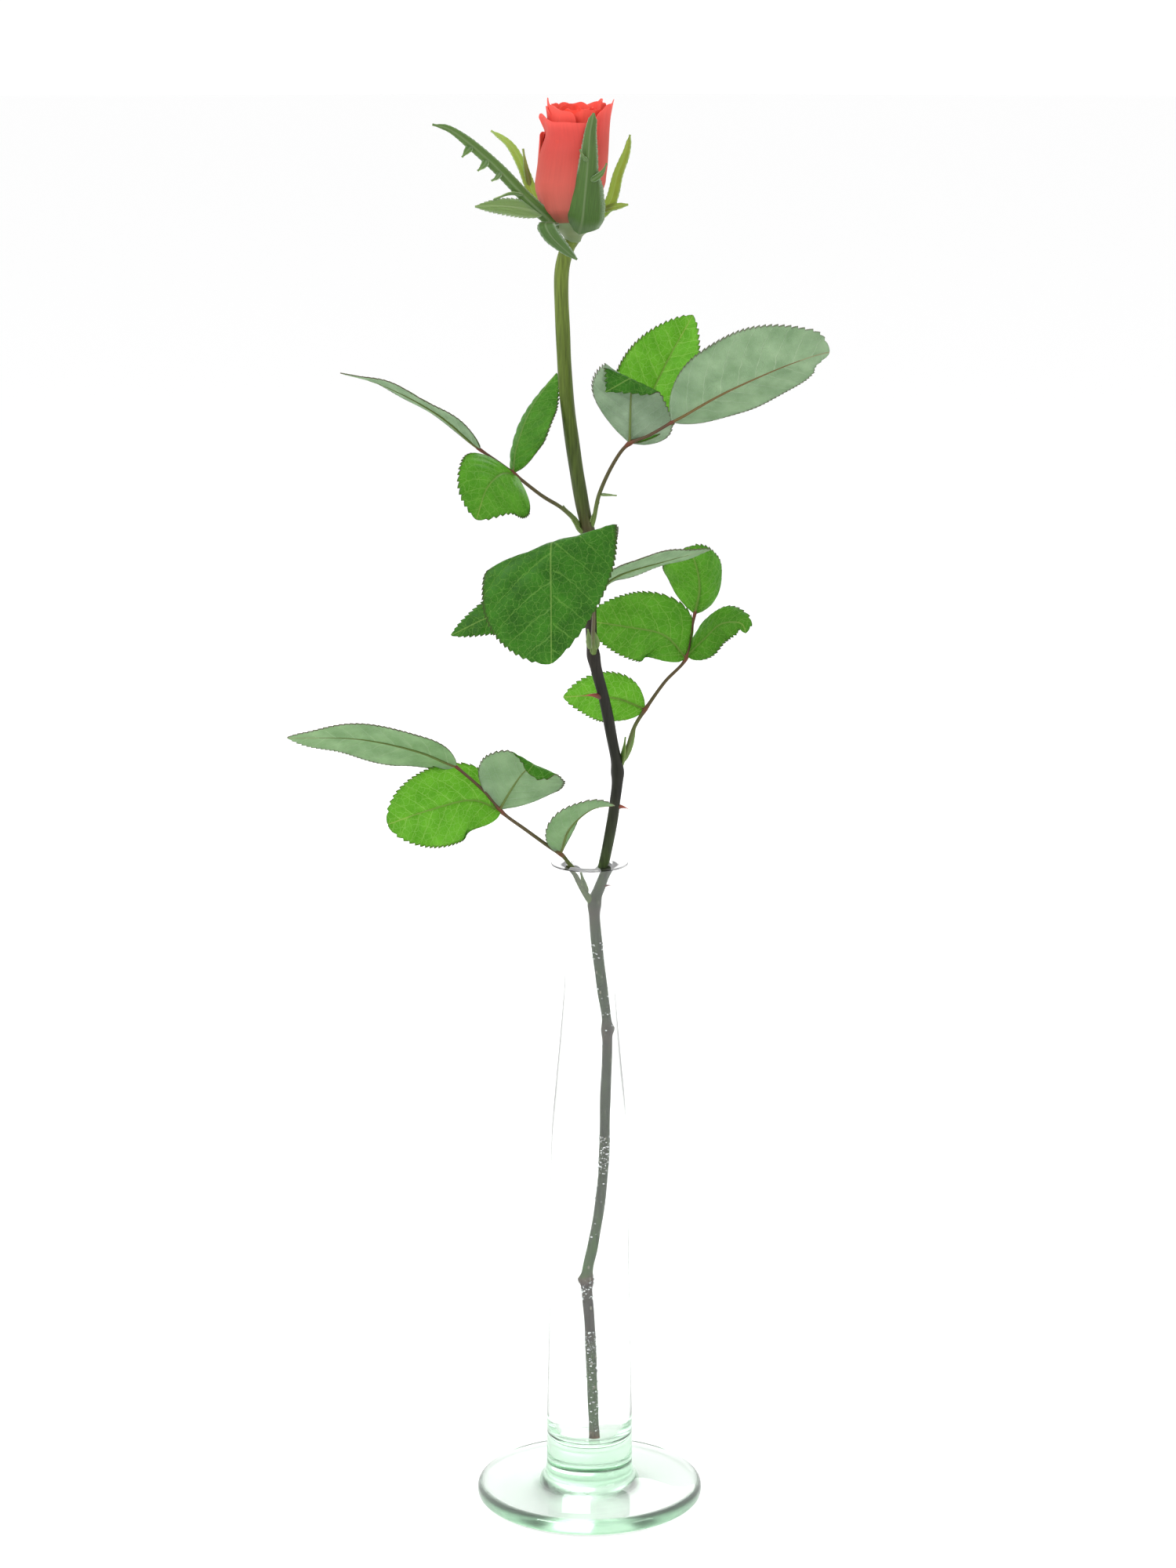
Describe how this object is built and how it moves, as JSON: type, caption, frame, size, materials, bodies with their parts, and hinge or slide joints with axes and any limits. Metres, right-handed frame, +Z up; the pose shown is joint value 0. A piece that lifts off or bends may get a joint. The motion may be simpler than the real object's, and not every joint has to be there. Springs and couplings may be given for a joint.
{
  "type": "rose in a bud vase",
  "caption": "Slim clear glass bud vase on a round foot, filled with water, holding a cut rose with thorns, toothed compound leaves and a closed bud.",
  "frame": {"origin": "centre of the flat underside of the vase's foot", "axes": "+Z up along the vase's axis; -Y towards the viewer of the picture; +X to the viewer's right"},
  "size_m": [0.1848, 0.1127, 0.5036],
  "materials": {
    "glass": "clear blown glass, very slightly green where it is thick",
    "water": "clear tap water",
    "stem": "smooth green bark, purple-brown lower down",
    "leaf": "waxy leaf, matt and grey-green beneath",
    "calyx": "soft green sepals with pale downy edges",
    "petal": "velvety coral-red petals"
  },
  "bodies": {
    "root": {"vase_glass": "glass", "water": "water", "stem": "stem", "leaf_top_right": "leaf", "leaf_top_left": "leaf", "leaf_front": "leaf", "leaf_right": "leaf", "leaf_lower_left": "leaf", "calyx": "calyx", "petals": "petal"}
  },
  "joints": []
}
